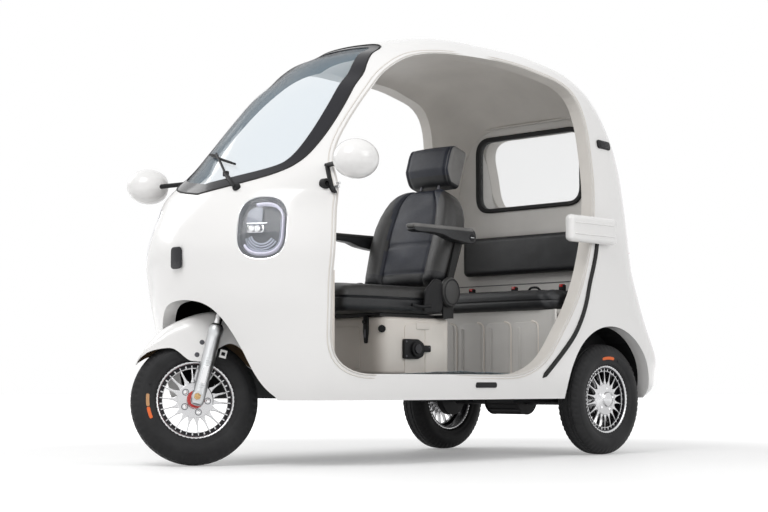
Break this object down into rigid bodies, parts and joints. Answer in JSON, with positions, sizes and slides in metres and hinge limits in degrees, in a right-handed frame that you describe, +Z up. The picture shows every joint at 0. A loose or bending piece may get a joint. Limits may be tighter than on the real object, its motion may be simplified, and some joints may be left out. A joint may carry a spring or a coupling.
{
  "type": "electric tricycle",
  "caption": "Enclosed three-wheeled electric vehicle: open-sided white cab with driver seat and rear bench, one steered front wheel and a driven rear axle.",
  "frame": {"origin": "on the ground under the middle of the vehicle", "axes": "+Z up, -Y forward, +X the vehicle's left"},
  "size_m": [1.3504, 2.4793, 1.705],
  "materials": {
    "body_white": "gloss",
    "liner_cream": "satin",
    "black_plastic": "matte",
    "frame_black": "satin",
    "leather_black": "satin",
    "tyre_black": "matte",
    "alloy": "machined",
    "silver_paint": "satin",
    "clear_glass": "gloss",
    "rubber_black": "matte",
    "lamp_clear": "gloss",
    "lamp_red": "gloss",
    "battery_grey": "satin"
  },
  "bodies": {
    "chassis": {"front_shell": "body_white", "roof_shell": "body_white", "rear_shell": "body_white", "side_sills": "body_white", "floor_pan": "black_plastic", "chassis_frame": "frame_black", "wheel_well": "black_plastic", "wheel_houses": "black_plastic", "tunnel_cover": "liner_cream", "knee_panel": "liner_cream", "dash_shelf": "liner_cream", "column_cover": "liner_cream", "rear_bulkhead": "liner_cream", "windscreen": "clear_glass", "screen_surround": "black_plastic", "rear_window": "clear_glass", "rear_window_seal": "rubber_black", "headlamps": "lamp_clear", "tail_lamps": "lamp_red", "mirrors": "body_white", "mirror_brackets": "black_plastic", "wiper": "black_plastic", "latch_covers": "body_white", "quarter_trims": "black_plastic", "seat_box": "liner_cream", "battery": "battery_grey", "seat_base": "frame_black", "seat_cushion": "leather_black", "recliner_covers": "black_plastic", "bench_box": "liner_cream", "bench_cushion": "leather_black", "bench_back": "leather_black", "rear_axle": "frame_black", "rear_shocks": "silver_paint"},
    "steering": {"fork": "silver_paint", "handlebar": "black_plastic", "front_guard": "body_white"},
    "front_wheel": {"front_rim": "alloy", "front_tyre": "tyre_black"},
    "rear_wheel_left": {"rear_rim_left": "alloy", "rear_tyre_left": "tyre_black"},
    "rear_wheel_right": {"rear_rim_right": "alloy", "rear_tyre_right": "tyre_black"},
    "backrest": {"back_frame": "frame_black", "seat_back": "leather_black", "headrest": "leather_black"},
    "arm_left": {"armrest_left": "leather_black"},
    "arm_right": {"armrest_right": "leather_black"}
  },
  "joints": [
    {"name": "steering_axis", "type": "hinge", "parent": "chassis", "child": "steering", "pos_m": [0, -1.00376, 0.22392], "axis": [0, 0.309, 0.9511], "range_deg": [0, 69]},
    {"name": "front_wheel_spin", "type": "hinge", "parent": "steering", "child": "front_wheel", "pos_m": [-0.01246, -1.021, 0.22952], "axis": [0.8241, -0.5387, 0.175], "continuous": true},
    {"name": "rear_wheel_left_spin", "type": "hinge", "parent": "chassis", "child": "rear_wheel_left", "pos_m": [0.4465, 0.775, 0.23], "axis": [1, 0, 0], "continuous": true},
    {"name": "rear_wheel_right_spin", "type": "hinge", "parent": "chassis", "child": "rear_wheel_right", "pos_m": [-0.4465, 0.775, 0.23], "axis": [1, 0, 0], "continuous": true},
    {"name": "backrest_recline", "type": "hinge", "parent": "chassis", "child": "backrest", "pos_m": [0, 0.07, 0.672], "axis": [-1, 0, 0], "range_deg": [0, 25]},
    {"name": "arm_left_lift", "type": "hinge", "parent": "backrest", "child": "arm_left", "pos_m": [0.26, 0.15961, 0.88302], "axis": [-1, 0, 0], "range_deg": [0, 85]},
    {"name": "arm_right_lift", "type": "hinge", "parent": "backrest", "child": "arm_right", "pos_m": [-0.26, 0.15961, 0.88302], "axis": [-1, 0, 0], "range_deg": [0, 85]}
  ]
}
